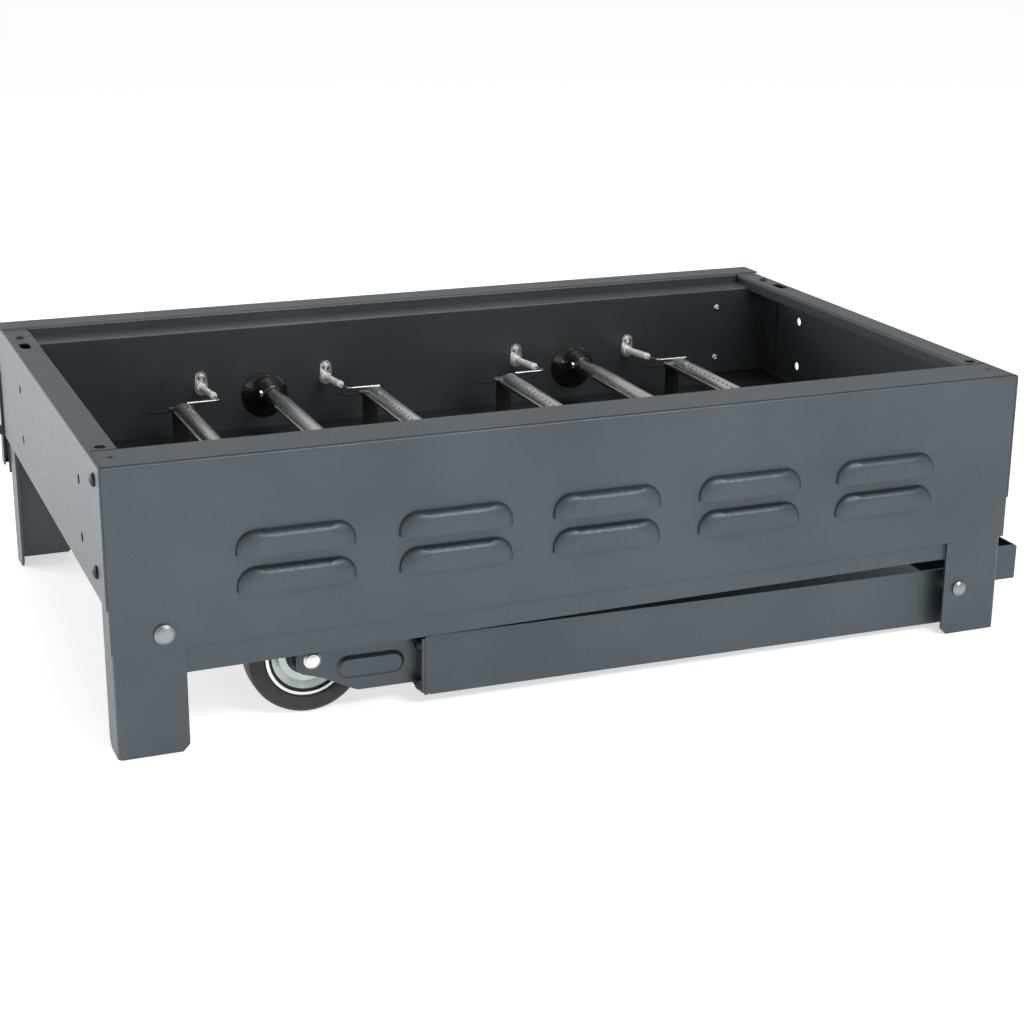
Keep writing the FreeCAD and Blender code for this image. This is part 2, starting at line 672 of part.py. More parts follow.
def make_neck():
    """Flat bar on the inner face of a rail that reaches past the hinge to the stop channel."""
    x, z = right_pivot
    bar = plate([(x - 60, z - 16), (channel_start, z - 16), (channel_start, channel_low),
                 (channel_end, channel_low), (channel_end, channel_high), (channel_start, channel_high),
                 (channel_start - 12, z + 10), (x - 60, z + 10)], 1.0, xz(rail_far), V(0, neck_sheet, 0))
    bar = bar.cut(rod((x, rail_far - 1, z), (x, rail_far + 9, z), 11.0))
    return swung(bar, right_pivot, right_tilt)


def make_stop_channel():
    half = -rail_far - neck_sheet
    outer = box(channel_start, channel_end, -half, half, channel_low, channel_high)
    inner = box(channel_start + rail_sheet, channel_end - rail_sheet, -half - 1, half + 1,
                channel_low + rail_sheet, channel_high + 1)
    return swung(outer.cut(inner), right_pivot, right_tilt)


def make_axle_brace():
    x = right_pivot[0] - right_reach + 3.0
    half = -rail_far
    z = right_pivot[1] - right_rail_low + 6.0
    tube = cut(box(x, x + 20, -half, half, z, z + 40),
               box(x + 2, x + 18, -half - 1, half + 1, z + 2, z + 38))
    for y, bolt_z in castor_bolts():
        for s in (-1, 1):
            tube = tube.cut(rod((x - 1, s * y, bolt_z), (x + 12, s * y, bolt_z), 8.5))
    return swung(tube, right_pivot, right_tilt)


rail = make_right_rail()
keep("right_leg_rear_rail", rail)
keep("right_leg_front_rail", mirrored(rail))
end_plate = make_castor_plate()
keep("right_leg_end_plates", group([end_plate, mirrored(end_plate)]))
neck = make_neck()
keep("right_leg_necks", group([neck, mirrored(neck)]))
keep("right_leg_stop_channel", make_stop_channel())
keep("right_leg_axle_brace", make_axle_brace())

# ---- castors ------------------------------------------------------------------------------
fork_sheet = 3.0
fork_gap = 38.0
fork_drop = 34.0
axle_radius = 6.0
rim_radius = 37.0


def make_fork():
    """Fixed castor housing: a top plate with two ribbed side plates."""
    top_x = right_pivot[0] - right_reach
    centre = right_pivot[1] - right_rail_low + rail_height / 2
    base = plate([(castor_y - 38, centre - 25), (castor_y + 38, centre - 25), (castor_y + 38, centre + 25),
                  (castor_y - 38, centre + 25)], 4.0, yz(top_x - fork_sheet), V(fork_sheet, 0, 0))
    base = base.common(box(top_x - 4, top_x + 1, right_lane + 0.5, castor_y + 40, 0, 100))
    for y, z in castor_bolts():
        base = base.cut(rod((top_x - 9, y, z), (top_x + 5, y, z), 4.0))
    side = [(axle_x - 13, axle_z - 12), (axle_x + 8, axle_z - 18), (axle_x + 40, axle_z - fork_drop),
            (top_x - fork_sheet, axle_z - fork_drop), (top_x - fork_sheet, axle_z + 9),
            (axle_x - 13, axle_z + 12)]
    radii = (9, 12, 14, 0, 0, 11)
    cheeks = []
    for s in (-1, 1):
        inner = castor_y + s * fork_gap / 2
        cheek = plate(side, radii, xz(inner), V(0, s * fork_sheet, 0))
        face = inner + s * fork_sheet
        rib = Part.makeLoft([stadium(axle_x + 52, axle_z - 12, 62, 22, xz(face - s * 0.5)),
                             stadium(axle_x + 52, axle_z - 12, 55, 15, xz(face + s * 3.0))], True, True)
        boss = rod((axle_x, face - s * 0.5, axle_z), (axle_x, face + s * 1.0, axle_z), 11.5)
        cheeks.append(fuse(cheek, rib, boss))
    fork = fuse(base, *cheeks)
    fork = fork.cut(rod((axle_x, castor_y - 40, axle_z), (axle_x, castor_y + 40, axle_z), axle_radius))
    return swung(fork, right_pivot, right_tilt)


def wheel_turned(profile):
    """A piece of the wheel, turned about the axle; profile gives distance from its mid-plane."""
    shape = turned(profile, (axle_x, castor_y, axle_z), (0, 1, 0))
    return swung(shape, right_pivot, right_tilt)


def make_tyre():
    w, r = wheel_width / 2, wheel_radius
    bead = rim_radius
    side = [(w - 4.5, bead), (w - 1.2, bead + 1.5), (w, bead + 5), (w - 0.4, r - 4), (w - 2.4, r - 1.2),
            (w - 6.0, r - 0.2), (0, r)]
    mirrored_side = [(-a, b) for a, b in side[-2::-1]]
    return wheel_turned(side + mirrored_side + [(0, bead)])


def make_rim():
    w = wheel_width / 2
    r = rim_radius
    face = [(w - 4.5, r), (w - 2.6, r), (w - 2.2, r - 1.2), (w - 2.8, r - 2.6), (w - 5.5, r - 3.4),
            (w - 5.5, r - 4.6), (w - 4.2, r - 5.4), (w - 6.5, r - 12.0), (w - 6.5, 18.5), (w - 4.0, 16.5),
            (w - 1.0, 15.5), (w - 1.0, 12.0), (w + 1.0, 11.0), (w + 1.0, 8.05)]
    mirrored_face = [(-a, b) for a, b in face[::-1]]
    return wheel_turned(face + mirrored_face)


def make_axle():
    """Axle sleeve and bolt in one, held by the fork cheeks."""
    outer = fork_gap / 2 + fork_sheet + 1.0
    sleeve = wheel_turned([(-fork_gap / 2, 6.0), (-fork_gap / 2, 8.0), (fork_gap / 2, 8.0),
                           (fork_gap / 2, 6.0)])
    head = screw((axle_x, castor_y - outer, axle_z), (0, -1, 0), 7.8, 5.4, 5.9, 4.0, socket=False)
    bolt = wheel_turned([(-outer, 0), (-outer, 6.0), (outer + 8.0, 6.0), (outer + 8.0, 0)])
    head = swung(head, right_pivot, right_tilt)
    return sleeve, bolt.fuse(head).removeSplitter()


sleeve, axle_bolt = make_axle()
axle_nut = swung(hex_nut((axle_x, castor_y + fork_gap / 2 + fork_sheet + 1.0, axle_z), (0, 1, 0),
                         17.0, 6.5, 6.0), right_pivot, right_tilt)
fork = make_fork()
keep("castor_forks", group([fork, mirrored(fork)]))
keep("rear_tyre", make_tyre())
keep("front_tyre", mirrored(nodes["rear_tyre"]))
keep("rear_wheel_rim", make_rim())
keep("front_wheel_rim", mirrored(nodes["rear_wheel_rim"]))
keep("castor_axle_sleeves", group([sleeve, mirrored(sleeve)]))
keep("castor_axle_bolts", group([axle_bolt, axle_nut, mirrored(axle_bolt), mirrored(axle_nut)]))
fixings = []
for y, z in castor_bolts():
    top_x = right_pivot[0] - right_reach
    bolt = screw((top_x - fork_sheet, y, z), (-1, 0, 0), 6.0, 4.0, 3.95, 12.0)
    nut = hex_nut((top_x + 3.0, y, z), (1, 0, 0), 13.0, 6.0, 3.95)
    if y < castor_y:
        nut = None
    for piece in (bolt, nut):
        if piece is not None:
            piece = swung(piece, right_pivot, right_tilt)
            fixings.extend([piece, mirrored(piece)])
keep("castor_bolts", group(fixings))

# ---- leg hinges ---------------------------------------------------------------------------
hinge_bolts, hinge_nuts, spacers = [], [], []
foot_face = rear_y + sheet                       # outer face of the rear feet
inner_face = foot_face + foot_sheet
left_bolt_len = left_lane + rail_sheet + 9.0 - rear_y
bolt = screw((left_pivot[0], rear_y, left_pivot[1]), (0, -1, 0), 8.4, 4.6, pivot_radius, left_bolt_len,
             socket=False)
hinge_bolts += [bolt, mirrored(bolt)]
nut = hex_nut((left_pivot[0], left_lane + rail_sheet + 0.5, left_pivot[1]), (0, 1, 0), 13.0, 7.5, pivot_radius)
hinge_nuts += [nut, mirrored(nut)]
right_bolt_len = rail_far + 10.0 - foot_face
bolt = screw((right_pivot[0], foot_face, right_pivot[1]), (0, -1, 0), 7.2, 4.4, pivot_radius,
             right_bolt_len, socket=False)
hinge_bolts += [bolt, mirrored(bolt)]
nut = hex_nut((right_pivot[0], rail_far + 0.6, right_pivot[1]), (0, 1, 0), 13.0, 7.5, pivot_radius)
hinge_nuts += [nut, mirrored(nut)]
spacer = pipe((right_pivot[0], inner_face, right_pivot[1]),
              (right_pivot[0], right_lane - 0.5, right_pivot[1]), 8.0, pivot_radius)
spacers += [spacer, mirrored(spacer)]
keep("leg_hinge_bolts", group(hinge_bolts + hinge_nuts))
keep("right_hinge_spacers", group(spacers))

# ---- burners ------------------------------------------------------------------------------
header_radius = 12.0
header_half = limb_offset + 14.0
bell_y = 186.0
mouth_radius = 24.0


def seam_flange(x, y0, y1, radius):
    return box(x - radius - 2.0, x + radius + 2.0, y0, y1, burner_z - 0.5, burner_z + 0.5)


def make_header(x):
    outer = rod((x - header_half, header_y, burner_z), (x + header_half, header_y, burner_z), header_radius)
    inner = rod((x - header_half + 1.5, header_y, burner_z), (x + header_half - 1.5, header_y, burner_z),
                header_radius - tube_wall)
    header = outer.cut(inner)
    for dx in (-limb_offset, 0, limb_offset):
        header = header.cut(rod((x + dx, header_y, burner_z), (x + dx, header_y + 20, burner_z), tube_radius))
    return header


def make_limb(x):
    """One ported burner tube, closed by a flattened far end."""
    start, taper, flat = header_y + 7.0, limb_end - 15.0, limb_end - 5.0
    limb = rod((x, start, burner_z), (x, taper, burner_z), tube_radius)
    limb = limb.fuse(seam_flange(x, header_y + header_radius + 4, taper, tube_radius))
    limb = limb.cut(rod((x, start - 1, burner_z), (x, taper - 2, burner_z), tube_radius - tube_wall))

    def ring(width, height, y):
        corners = [(x - width, burner_z - height), (x + width, burner_z - height),
                   (x + width, burner_z + height), (x - width, burner_z + height)]
        return outline(corners, min(width, height) - 0.02, xz(y))
    tail = Part.makeLoft([ring(tube_radius, tube_radius, taper), ring(tube_radius + 4.0, 1.5, flat)],
                         True, True)
    tab = Part.Face(ring(tube_radius + 4.0, 1.5, flat)).extrude(V(0, limb_end - flat, 0))
    limb = fuse(limb, tail, tab)
    ports = []
    count = int((taper - 12 - (header_y + 30)) / port_pitch)
    for i in range(count):
        y = header_y + 30 + i * port_pitch
        for side in (-1, 1):
            tilt = math.radians(35) * side
            top = (x + 14 * math.sin(tilt), y, burner_z + 14 * math.cos(tilt))
            ports.append(rod((x, y, burner_z), top, port_radius))
    return limb.cut(Part.makeCompound(ports))


def make_mixing_tube(x):
    r, w = tube_radius, tube_wall
    start = header_y + 7.0
    profile = [(start, r), (130.0, r), (168.0, r - 2.4), (bell_y + 2.0, r - 2.4), (bell_y + 2.0, r - 3.4),
               (168.0, r - 3.4), (130.0, r - w), (start, r - w)]
    tube = turned(profile, (x, 0, burner_z), (0, 1, 0))
    flange = seam_flange(x, header_y + header_radius + 4, 128.0, r)
    return tube.fuse(flange.cut(rod((x, start, burner_z), (x, 129, burner_z), r - 0.3))).removeSplitter()


def make_bell(x):
    """Enamelled bell mouth that carries the mixing tube on the burner wall."""
    bore, neck = tube_radius - 2.4, bell_y + 1.0
    rim = wall_y - 2.5

    def ring(radius, y, z):
        return Part.Wire(Part.makeCircle(radius, V(x, y, z), V(0, 1, 0)))
    cone = Part.makeLoft([ring(mouth_radius, rim, mouth_z), ring(bore + 4.5, neck, burner_z)], True, True)
    hollow = Part.makeLoft([ring(mouth_radius - 3.5, wall_y + 0.1, mouth_z),
                            ring(bore, bell_y + 4.0, burner_z)], True, True)
    band = rod((x, rim, mouth_z), (x, wall_y, mouth_z), mouth_radius)
    sleeve = rod((x, bell_y - 14, burner_z), (x, neck, burner_z), bore + 3.2)
    bell = fuse(cone, band, sleeve)
    return cut(bell, hollow, rod((x, bell_y - 15, burner_z), (x, bell_y + 5, burner_z), bore))


bells, bell_screws, supports, saddles = [], [], [], []
for side, x in zip(("left", "right"), burner_centres()):
    keep(side + "_burner_header", make_header(x))
    keep(side + "_burner_mixing_tube", make_mixing_tube(x))
    keep(side + "_burner_port_tubes", group([make_limb(x - limb_offset), make_limb(x + limb_offset)]))
    clamp = screw((x - tube_radius - 1.0, bell_y - 8, burner_z), (-1, 0, 0), 3.4, 2.4, 1.5, 2.6,
                  button=False)
    bells.append(make_bell(x).cut(clamp))
    bell_screws.append(clamp)
    for dx in (-limb_offset, limb_offset):
        cx = x + dx
        base = pan_z + pan_sheet
        top = burner_z - 1.5
        shelf = plate([(cx - 34, limb_end + 4), (cx - 28, limb_end - 4.8), (cx + 14, limb_end - 4.8),
                       (cx + 14, limb_end + 4)], 1.0, xy(top - 1.2), V(0, 0, 1.2))
        post = box(cx - 8, cx + 8, limb_end + 2.8, limb_end + 4, base, top - 1.2)
        toe = box(cx - 8, cx + 8, limb_end - 12, limb_end + 4, base, base + 1.2)
        supports.append(fuse(shelf, post, toe))
        saddle = cut(box(cx - 9, cx + 9, header_y - 13.2, header_y + 13.2, base, burner_z),
                     box(cx - 10, cx + 10, header_y - 12, header_y + 12, base + 1.2, burner_z + 1))
        saddle = saddle.cut(rod((cx - 10, header_y, burner_z), (cx + 10, header_y, burner_z), header_radius))
        saddle = saddle.cut(box(cx - 10, cx + 10, header_y + 5, header_y + 14,
                                burner_z - tube_radius - 0.5, burner_z + 1))
        saddles.append(saddle)
keep("burner_bells", group(bells))
keep("bell_clamp_screws", group(bell_screws))
keep("burner_end_supports", group(supports))
keep("header_saddles", group(saddles))

# ---- ignition -----------------------------------------------------------------------------
tabs, tab_screws, ceramics, spark_rods, leads = [], [], [], [], []
generator_face = wall_y + sheet
lead_y = generator_face + generator_depth - 6.0
outlet_x = generator_x - 20.0
index = 0
lead_lengths = []
for x in burner_centres()[::-1]:
    for s in (1, -1):
        ex = x + s * electrode_offset
        z = electrode_z
        foot = V(ex, wall_y, z)
        lift = V(0, -math.cos(electrode_tilt), math.sin(electrode_tilt))
        pear = [(ex - 7.5, z - 7.5), (ex + 7.5, z - 7.5), (ex + 5.5, z + 17.5), (ex - 5.5, z + 17.5)]
        tab = plate(pear, (6.8, 6.8, 5.2, 5.2), xz(wall_y - 1.4), V(0, 1.4, 0))
        screw_z = z + tab_screw_rise
        tab = cut(tab, rod(tuple(foot - lift * 5), tuple(foot + lift * 5), ceramic_radius + 0.1),
                  rod((ex, wall_y - 3, screw_z), (ex, wall_y + 1, screw_z), 2.0))
        tabs.append(tab)
        tab_screws.append(screw((ex, wall_y - 1.4, screw_z), (0, -1, 0), 3.8, 2.4, 2.0, 6.0))
        r = ceramic_radius
        ceramic = turned([(-9.0, 1.0), (-9.0, r), (1.8, r), (1.8, r + 1.3), (4.4, r + 1.3), (4.4, r),
                          (53.0, r), (55.0, r - 0.8), (55.0, 1.0)], tuple(foot), tuple(lift))
        ceramics.append(ceramic)
        elbow = foot + lift * ((wall_y - spark_tip_y) / math.cos(electrode_tilt))
        tip = (ex + s * (limb_offset - electrode_offset), elbow.y, elbow.z)
        tail = foot - lift * 12.0
        wire, _ = swept([tuple(tail + lift * 0.4), tuple(elbow), tip], 0.98, 5.0)
        spark_rods.append(wire)
        track = 184.0 + 7.0 * index
        shoulder = min(ex + 64.0, outlet_x - 20.0)
        route = [(outlet_x, lead_y, track), (shoulder, lead_y, track), (ex, lead_y, tail.z), tuple(tail)]
        lead, length = swept(route, lead_radius)
        leads.append(lead)
        lead_lengths.append(length)
        index += 1
keep("electrode_tabs", group(tabs))
keep("electrode_ceramics", group(ceramics))
keep("spark_electrodes", group(spark_rods))
keep("ignition_leads", group(leads))


def make_generator():
    x, y = generator_x, generator_face
    body = plate([(x - 20, y), (x + 20, y), (x + 20, y + generator_depth), (x - 20, y + generator_depth)],
                 3.0, xy(170.0), V(0, 0, 42.0))
    ears = box(x - 9, x + 9, y, y + 2.5, 154.0, 227.0)
    body = fuse(body, ears)
    for z in generator_screws:
        body = body.cut(rod((x, y - 1, z), (x, y + 4, z), 2.0))
    return body


keep("spark_generator", make_generator())
tab_screws += [screw((generator_x, wall_y, z), (0, -1, 0), 3.6, 2.2, 2.0, 7.0) for z in generator_screws]
keep("wall_screws", group(tab_screws))

button_at, button_out = fascia_point(button_x, knob_z)


def on_button(profile):
    return turned(profile, tuple(button_at), tuple(button_out))


button_travel = 4.0
bezel = on_button([(0.1, 6.6), (0.1, 12.0), (2.0, 12.0), (3.0, 11.0), (3.0, 6.6)])
switch = on_button([(-22, 0), (-22, 7.0), (-sheet - 0.1, 7.0), (-sheet - 0.1, 8.8), (0.1, 8.8),
                    (0.1, 6.6), (-12.0, 6.6), (-12.0, 0)])
keep("ignition_switch", group([bezel, switch]))
keep("ignition_button", on_button([(-6.0, 0), (-6.0, 6.2), (7.0, 6.2), (8.5, 5.0), (9.0, 0)]))

# ---- gas supply and controls --------------------------------------------------------------
stem_radius = 4.0
stem_back = 30.0                     # from the fascia face back into the valve


def make_valve(x):
    body = box(x - 12, x + 12, control_y - 12, control_y + 8, 134.0, 157.0)
    inlet = rod((x, control_y, manifold_z + manifold_radius - 0.5), (x, control_y, 135.0), 5.0)
    inlet = inlet.cut(rod((x - 20, control_y, manifold_z), (x + 20, control_y, manifold_z), manifold_radius))
    riser = rod((x, control_y, 156.0), (x, control_y, burner_z), 6.0)
    elbow = Part.makeSphere(6.5, V(x, control_y, burner_z))
    spigot = rod((x, control_y, burner_z), (x, control_y - 8.0, burner_z), 6.0)
    valve = fuse(body, inlet, riser, elbow, spigot)
    boss = along_knob(x, -stem_back - 4.0, -16.0, 9.0)
    valve = valve.fuse(boss)
    bore = along_knob(x, -stem_back, 0.0, stem_radius + running_gap)
    return valve.cut(bore).removeSplitter()


def make_injector(x):
    y = control_y - 8.0
    profile = [(y, 0.8), (y, 6.9), (y - 5.0, 6.9), (y - 5.0, 5.0), (wall_y + 1.6, 5.0), (wall_y - 1.0, 3.0),
               (wall_y - 1.0, 0.8)]
    return turned(profile, (x, 0, burner_z), (0, 1, 0))


def make_shutter(x):
    """Rotating air shutter on the injector, against the back of the burner wall."""
    y = wall_y + sheet + 0.5
    disc = pipe((x, y, burner_z), (x, y + 1.2, burner_z), 25.0, 5.0 + running_gap)
    disc = disc.fuse(pipe((x, y, burner_z), (x, y + 5.0, burner_z), 8.0, 5.0 + running_gap))
    for start in (20, 200):
        sector = Part.makeCylinder(18.5, 4, V(x, y - 1, burner_z), V(0, 1, 0), 140)
        sector = sector.cut(rod((x, y - 2, burner_z), (x, y + 4, burner_z), 10.5))
        sector.rotate(V(x, y, burner_z), V(0, 1, 0), start)
        disc = disc.cut(sector)
    ear = box(x - 4, x + 4, y, y + 1.2, burner_z + 24, burner_z + 30)
    return disc.fuse(ear).removeSplitter()


def make_knob(x):
    at, out = fascia_point(x, knob_z)
    skirt = turned([(3.5, 0), (3.5, 22.5), (6.5, 22.5), (8.5, 20.5), (9.5, 17.5), (22.0, 15.5),
                    (24.0, 14.0), (24.0, 0)], tuple(at), tuple(out))
    grip = box(-4.5, 4.5, -20.0, 20.0, 8.0, 25.5)
    grip = grip.common(rod((0, 0, 5), (0, 0, 27), 20.5))
    side = FreeCAD.Rotation(V(1, 0, 0), V(0, -math.sin(slope), math.cos(slope)), out, "ZXY")
    grip.Placement = FreeCAD.Placement(at, side)
    knob = skirt.fuse(grip)
    flutes = []
    for i in range(12):
        angle = 2 * math.pi * i / 12
        flute = rod((18.6 * math.cos(angle), 18.6 * math.sin(angle), 9.0),
                    (18.6 * math.cos(angle), 18.6 * math.sin(angle), 30.0), 3.2)
        flute.Placement = FreeCAD.Placement(at, side)
        flutes.append(flute)
    spared = box(-6.5, 6.5, -24, 24, 0, 30)
    spared.Placement = FreeCAD.Placement(at, side)
    knob = knob.cut(Part.makeCompound(flutes).cut(spared))
    return knob.cut(along_knob(x, 3.0, 15.0, stem_radius)).removeSplitter()


valves, injectors, bezels = [], [], []
for side, x in zip(("left", "right"), burner_centres()):
    at, out = fascia_point(x, knob_z)
    valves.append(make_valve(x))
    injectors.append(make_injector(x))
    keep(side + "_air_shutter", make_shutter(x))
    stem = along_knob(x, -stem_back + 0.3, 15.0, stem_radius)
    keep(side + "_knob", group([make_knob(x), stem]))
    bezels.append(turned([(0.1, 7.5), (0.1, 26.0), (1.2, 26.0), (2.0, 25.0), (2.0, 7.5)],
                         tuple(at), tuple(out)))
keep("gas_valves", group(valves))
keep("injectors", group(injectors))
keep("knob_bezels", group(bezels))

manifold_left = burner_centres()[0] - 24.0
inlet_x = 300.0
inlet_end = 84.0
elbow_radius = 9.0
manifold = pipe((manifold_left, control_y, manifold_z), (inlet_x - elbow_radius, control_y, manifold_z),
                manifold_radius, manifold_radius - 1.2)
for x in burner_centres():
    manifold = manifold.cut(rod((x, control_y, manifold_z), (x, control_y, manifold_z + 10), 3.0))
end_cap = turned([(manifold_left - 7, 0), (manifold_left - 7, 7.5), (manifold_left - 5, 9.0),
                                 (manifold_left, 9.0), (manifold_left, 0)],
                                (0, control_y, manifold_z), (1, 0, 0))
keep("gas_manifold", group([manifold, end_cap]))
inlet_radius = 8.33
inlet_y = 196.0                      # clear of the folded rails, so that a hose can reach it
inlet = fuse(box(inlet_x - elbow_radius, inlet_x + elbow_radius, inlet_y - elbow_radius,
                 control_y + elbow_radius, manifold_z - elbow_radius, manifold_z + elbow_radius),
             rod((inlet_x, inlet_y, manifold_z - elbow_radius), (inlet_x, inlet_y, inlet_end), inlet_radius))
inlet = cut(inlet, rod((inlet_x, inlet_y, manifold_z), (inlet_x, inlet_y, inlet_end - 1), 4.5),
            rod((inlet_x, inlet_y, manifold_z), (inlet_x, control_y, manifold_z), 4.5),
            rod((inlet_x, control_y, manifold_z), (inlet_x - 10, control_y, manifold_z), 4.5))
keep("gas_inlet", inlet)

# ---- output -------------------------------------------------------------------------------
whole = Part.makeCompound(list(nodes.values())).BoundBox
shift = V(-whole.Center.x, -whole.Center.y, -whole.ZMin)
os.makedirs("parts", exist_ok=True)
for name, shape in nodes.items():
    moved = shape.copy()
    moved.translate(shift)
    moved.exportStep("parts/" + name + ".step")

print("nodes", len(nodes))
print("box", round(whole.XLength, 2), round(whole.YLength, 2), round(whole.ZLength, 2))
print("shift", round(shift.x, 4), round(shift.y, 4), round(shift.z, 4))
print("lead lengths", [round(length, 1) for length in lead_lengths])
for name, shape in nodes.items():
    bad = "" if shape.isValid() and all(s.isClosed() for s in shape.Solids) else "  INVALID"
    if bad:
        print(name, len(shape.Solids), "solids", bad)
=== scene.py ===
import bmesh
import bpy
import math
from mathutils import Matrix, Vector


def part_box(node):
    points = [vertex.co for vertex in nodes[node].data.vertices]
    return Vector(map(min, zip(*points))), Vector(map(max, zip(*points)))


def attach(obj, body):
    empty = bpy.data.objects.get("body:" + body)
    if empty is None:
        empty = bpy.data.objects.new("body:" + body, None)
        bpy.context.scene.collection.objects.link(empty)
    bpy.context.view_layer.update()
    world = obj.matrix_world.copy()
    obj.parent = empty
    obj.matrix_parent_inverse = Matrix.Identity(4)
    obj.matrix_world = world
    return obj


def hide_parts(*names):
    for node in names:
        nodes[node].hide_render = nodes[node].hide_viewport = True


# Folding gas barbecue base in a plain white studio: dark textured powder coat, stainless burners,
# zinc-plated hardware and black castor tyres. Places are in metres in the model's frame: X to the
# right as the louvred rear panel is faced, Y towards the operator's side and Z up.

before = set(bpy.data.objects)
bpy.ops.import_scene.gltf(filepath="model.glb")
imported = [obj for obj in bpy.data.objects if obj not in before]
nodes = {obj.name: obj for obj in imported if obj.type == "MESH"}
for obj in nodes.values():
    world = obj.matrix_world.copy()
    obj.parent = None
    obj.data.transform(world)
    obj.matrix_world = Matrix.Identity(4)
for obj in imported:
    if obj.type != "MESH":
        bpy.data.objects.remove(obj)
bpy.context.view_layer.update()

MM = 0.001

# ---- shader nodes -------------------------------------------------------------------------


class Surface:
    """A node-based material on a Principled shader, with short calls for the usual nodes."""

    def __init__(self, name, color, roughness, metallic=0.0, **sockets):
        self.material = bpy.data.materials.new(name)
        self.material.use_nodes = True
        self.tree = self.material.node_tree
        self.shader = self.tree.nodes["Principled BSDF"]
        self.set("Base Color", (*color, 1.0))
        self.set("Roughness", roughness)
        self.set("Metallic", metallic)
        for socket, value in sockets.items():
            self.set(socket.replace("_", " "), value)
        self.coords = self.add("ShaderNodeTexCoord").outputs["Object"]

    def set(self, socket, value):
        self.shader.inputs[socket].default_value = value

    def add(self, kind, **settings):
        node = self.tree.nodes.new(kind)
        for key, value in settings.items():
            setattr(node, key, value)
        return node

    def link(self, source, target):
        self.tree.links.new(source, target)

    def stretched(self, scale):
        """The object coordinates scaled differently along each axis."""
        mapping = self.add("ShaderNodeMapping")
        mapping.inputs["Scale"].default_value = scale
        self.link(self.coords, mapping.inputs["Vector"])
        return mapping.outputs["Vector"]

    def noise(self, scale, detail=3.0, roughness=0.55, stretch=None):
        """Cloudy noise from 0 to 1. The scale is about how many of its grains fit in a metre."""
        node = self.add("ShaderNodeTexNoise")
        node.inputs["Scale"].default_value = scale
        node.inputs["Detail"].default_value = detail
        node.inputs["Roughness"].default_value = roughness
        self.link(self.stretched(stretch) if stretch else self.coords, node.inputs["Vector"])
        return node.outputs["Fac"]

    def cells(self, scale):
        """Distance to the middle of the nearest of many small cells."""
        node = self.add("ShaderNodeTexVoronoi")
        node.inputs["Scale"].default_value = scale
        self.link(self.coords, node.inputs["Vector"])
        return node.outputs["Distance"]

    def ramp(self, value, low, high, out_low=0.0, out_high=1.0):
        """The value carried from low..high to out_low..out_high, and held beyond either end."""
        node = self.add("ShaderNodeMapRange")
        node.inputs["From Min"].default_value = low
        node.inputs["From Max"].default_value = high
        node.inputs["To Min"].default_value = out_low
        node.inputs["To Max"].default_value = out_high
        self.link(value, node.inputs["Value"])
        return node.outputs["Result"]

    def math(self, operation, a, b):
        """Arithmetic on two values, each of them a number or another node's output."""
        node = self.add("ShaderNodeMath", operation=operation)
        for socket, value in zip(node.inputs, (a, b)):
            if isinstance(value, (int, float)):
                socket.default_value = value
            else:
                self.link(value, socket)
        return node.outputs["Value"]

    def mix(self, factor, a, b):
        """Colour a where the factor is 0 and colour b where it is 1."""
        node = self.add("ShaderNodeMix", data_type="RGBA")
        self.link(factor, node.inputs["Factor"])
        for socket, value in ((node.inputs["A"], a), (node.inputs["B"], b)):
            if isinstance(value, tuple):
                socket.default_value = (*value, 1.0)
            else:
                self.link(value, socket)
        return node.outputs["Result"]

    def bump(self, height, distance, strength, under=None):
        """Surface relief of up to the distance in metres, on top of the relief underneath."""
        node = self.add("ShaderNodeBump")
        node.inputs["Distance"].default_value = distance
        node.inputs["Strength"].default_value = strength
        self.link(height, node.inputs["Height"])
        if under:
            self.link(under, node.inputs["Normal"])
        return node.outputs["Normal"]

    def drive(self, socket, source):
        self.link(source, self.shader.inputs[socket])


# ---- materials ----------------------------------------------------------------------------


def shade(color, share):
    """The same colour, darker where the share is under 1 and lighter where it is over 1."""
    return tuple(channel * share for channel in color)


def powder_coat(name, color, lighter):
    """Fine-textured metallic powder coat: orange peel, tiny flakes, faint large-scale unevenness."""
    skin = Surface(name, color, 0.42, 0.88, Coat_Weight=0.10, Coat_Roughness=0.40)
    grain = skin.noise(1500.0, 2.0, 0.6)
    peel = skin.noise(520.0, 2.0, 0.5)
    clouds = skin.noise(9.0, 3.0, 0.5)
    flakes = skin.ramp(skin.cells(1700.0), 0.0, 0.30, 1.0, 0.0)
    uneven = skin.math("ADD", skin.math("MULTIPLY", clouds, 0.6), skin.math("MULTIPLY", grain, 0.4))
    tone = skin.ramp(uneven, 0.38, 0.62)
    base = skin.mix(tone, shade(color, 0.90), shade(color, 1.10))
    skin.drive("Base Color", skin.mix(skin.math("MULTIPLY", flakes, 0.18), base, lighter))
    skin.drive("Roughness", skin.ramp(peel, 0.3, 0.7, 0.40, 0.54))
    fine = skin.bump(grain, 0.06 * MM, 0.7)
    skin.drive("Normal", skin.bump(peel, 0.10 * MM, 0.5, fine))
    return skin.material


def drawn_stainless(name, color, along, tint):
    """Stainless tube with drawing lines along one axis and patches of heat tint."""
    skin = Surface(name, color, 0.28, 1.0)
    stretch = [1.0, 1.0, 1.0]
    stretch[along] = 0.02
    lines = skin.noise(900.0, 3.0, 0.6, stretch)
    patches = skin.noise(14.0, 3.0, 0.5)
    tone = skin.mix(skin.ramp(lines, 0.3, 0.7), shade(color, 0.85), color)
    skin.drive("Base Color", skin.mix(skin.ramp(patches, 0.48, 0.66), tone, tint))
    skin.drive("Roughness", skin.ramp(lines, 0.3, 0.7, 0.20, 0.38))
    skin.drive("Normal", skin.bump(lines, 0.03 * MM, 0.6))
    return skin.material


